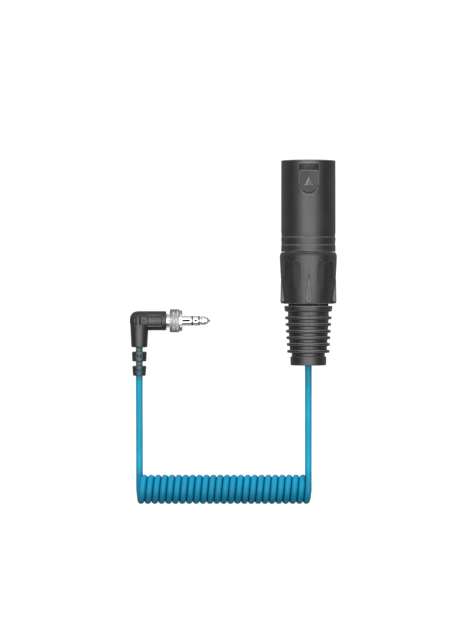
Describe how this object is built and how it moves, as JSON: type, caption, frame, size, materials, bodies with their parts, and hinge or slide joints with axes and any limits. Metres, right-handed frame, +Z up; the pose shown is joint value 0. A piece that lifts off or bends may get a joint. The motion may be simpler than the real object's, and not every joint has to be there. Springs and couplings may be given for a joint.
{
  "type": "audio adapter cable",
  "caption": "Curly blue audio adapter lead with a three-pin male XLR plug and a right-angle mini plug with a knurled screw-lock nut.",
  "frame": {"origin": "on the table under the middle of the three-pin plug", "axes": "+Y along the three-pin plug towards its mating end, +X from the curly coil's far end towards that plug, +Z up from the table"},
  "size_m": [0.0726, 0.1203, 0.02],
  "materials": {
    "shell_metal": "satin black coating on die-cast metal",
    "insert_plastic": "moulded black insulator",
    "gold_contact": "gold-plated brass",
    "spring_metal": "tinned spring steel",
    "chuck_plastic": "grey moulded collet",
    "bushing_plastic": "fine matt black moulding",
    "boot_rubber": "soft black rubber",
    "cord_jacket": "bright blue soft jacket, satin",
    "bare_copper": "bare copper strands",
    "wire_red": "red core insulation",
    "wire_white": "white core insulation",
    "elbow_plastic": "matt black overmoulding",
    "nickel": "bright nickel plating",
    "band_plastic": "black insulating band",
    "tinned_tag": "tinned solder tag"
  },
  "bodies": {
    "lead": {"xlr_shell": "shell_metal", "contact_insert": "insert_plastic", "contact_1": "gold_contact", "contact_2": "gold_contact", "contact_3": "gold_contact", "ground_spring": "spring_metal", "chuck": "chuck_plastic", "cord_end_xlr": "cord_jacket", "wire_screen": "bare_copper", "wire_hot": "wire_red", "wire_cold": "wire_white", "cord_lead_xlr": "cord_jacket", "cord_coil": "cord_jacket", "cord_lead_mini": "cord_jacket", "cord_end_mini": "cord_jacket", "elbow_body": "elbow_plastic", "jack_holder": "insert_plastic", "sleeve_neck": "nickel", "jack_tip": "nickel", "jack_ring": "nickel", "jack_sleeve": "nickel", "front_insulator": "band_plastic", "rear_insulator": "band_plastic", "tip_tag": "tinned_tag", "ring_tag": "tinned_tag", "sleeve_tag": "tinned_tag", "wire_tip": "wire_red", "wire_ring": "wire_white", "wire_return": "bare_copper"},
    "boot": {"cable_boot": "boot_rubber"},
    "bushing": {"bushing": "bushing_plastic"},
    "nut_ring": {"nut_ring": "spring_metal"},
    "lock_nut": {"lock_nut": "nickel"}
  },
  "joints": [
    {"name": "bushing_back_off", "type": "slide", "parent": "lead", "child": "boot", "axis": [0, -1, 0], "range_m": [0, 0.0032]},
    {"name": "bushing_turn", "type": "hinge", "parent": "boot", "child": "bushing", "pos_m": [0, 0, 0.01], "axis": [0, -1, 0], "range_deg": [0, 1080]},
    {"name": "nut_slide", "type": "slide", "parent": "lead", "child": "nut_ring", "axis": [1, 0, 0], "range_m": [-0.0008, 0]},
    {"name": "nut_turn", "type": "hinge", "parent": "nut_ring", "child": "lock_nut", "pos_m": [-0.05919, -0.0202, 0.0041], "axis": [1, 0, 0], "continuous": true}
  ],
  "couplings": [
    {"joint": "bushing_back_off", "follows": "bushing_turn", "m_per_rad": 0.000159}
  ]
}
